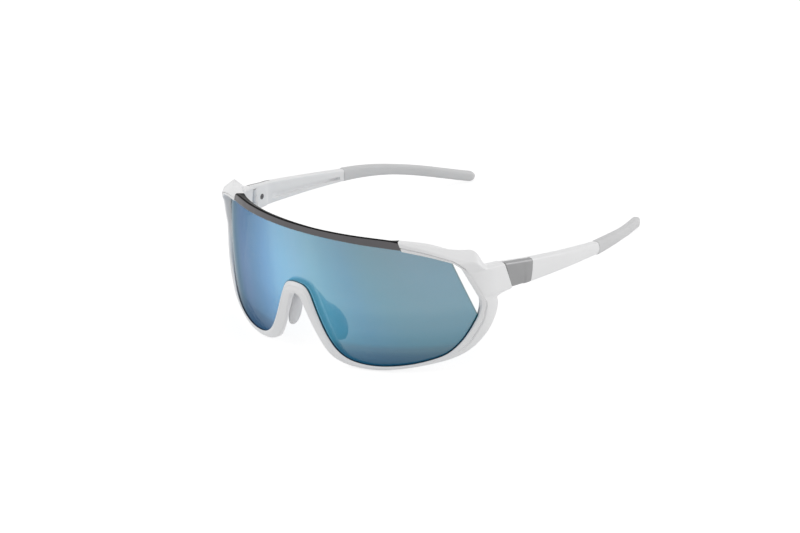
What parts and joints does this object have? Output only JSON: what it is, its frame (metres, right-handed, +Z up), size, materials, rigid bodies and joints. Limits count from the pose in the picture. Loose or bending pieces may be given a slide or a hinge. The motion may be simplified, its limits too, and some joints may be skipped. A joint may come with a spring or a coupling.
{
  "type": "cycling sunglasses",
  "caption": "Wrap-around cycling sunglasses with a mirrored shield lens in a white frame, folding side arms with curved soft tips and adjustable nose pads.",
  "frame": {"origin": "centre of the footprint, on the surface that the lower rim and the two soft tips stand on", "axes": "+Z up, +X towards the wearer's left, -Y the way the wearer looks, so the lens faces -Y and the side arms run back along +Y"},
  "size_m": [0.1452, 0.1612, 0.0569],
  "materials": {
    "frame_white": "satin gloss",
    "lens_mirror": "polished, with a blue mirror coating",
    "bar_dark": "matte",
    "plate_grey": "satin metallic paint",
    "screw_dark": "blackened",
    "tip_grey": "soft matte",
    "pad_soft": "soft matte",
    "hinge_pale": "moulded",
    "steel": "bright"
  },
  "bodies": {
    "front": {"front_frame": "frame_white", "shield_lens": "lens_mirror", "brow_bar": "bar_dark", "bar_pin_left": "steel", "bar_pin_right": "steel", "hinge_yoke_left": "hinge_pale", "hinge_yoke_right": "hinge_pale", "hinge_screw_left": "steel", "hinge_screw_right": "steel"},
    "temple_arm_left": {"temple_left": "frame_white", "temple_plate_left": "plate_grey", "plate_screw_left": "screw_dark", "hinge_tongue_left": "hinge_pale", "temple_tip_left": "tip_grey", "temple_core_left": "steel"},
    "pad_left": {"nose_pad_left": "pad_soft", "pad_wire_left": "steel"},
    "temple_arm_right": {"temple_right": "frame_white", "temple_plate_right": "plate_grey", "plate_screw_right": "screw_dark", "hinge_tongue_right": "hinge_pale", "temple_tip_right": "tip_grey", "temple_core_right": "steel"},
    "pad_right": {"nose_pad_right": "pad_soft", "pad_wire_right": "steel"}
  },
  "joints": [
    {"name": "temple_fold_left", "type": "hinge", "parent": "front", "child": "temple_arm_left", "pos_m": [0.06731, -0.03336, 0.03362], "axis": [0, 0.1466, 0.9892], "range_deg": [0, 88]},
    {"name": "temple_fold_right", "type": "hinge", "parent": "front", "child": "temple_arm_right", "pos_m": [-0.06731, -0.03336, 0.03362], "axis": [0, 0.1466, 0.9892], "range_deg": [-78, 0]},
    {"name": "pad_turn_left", "type": "hinge", "parent": "front", "child": "pad_left", "pos_m": [0.00408, -0.07768, 0.02902], "axis": [0, 0.9892, -0.1466], "range_deg": [-8, 8]},
    {"name": "pad_turn_right", "type": "hinge", "parent": "front", "child": "pad_right", "pos_m": [-0.00408, -0.07768, 0.02902], "axis": [0, 0.9892, -0.1466], "range_deg": [-8, 8]}
  ]
}
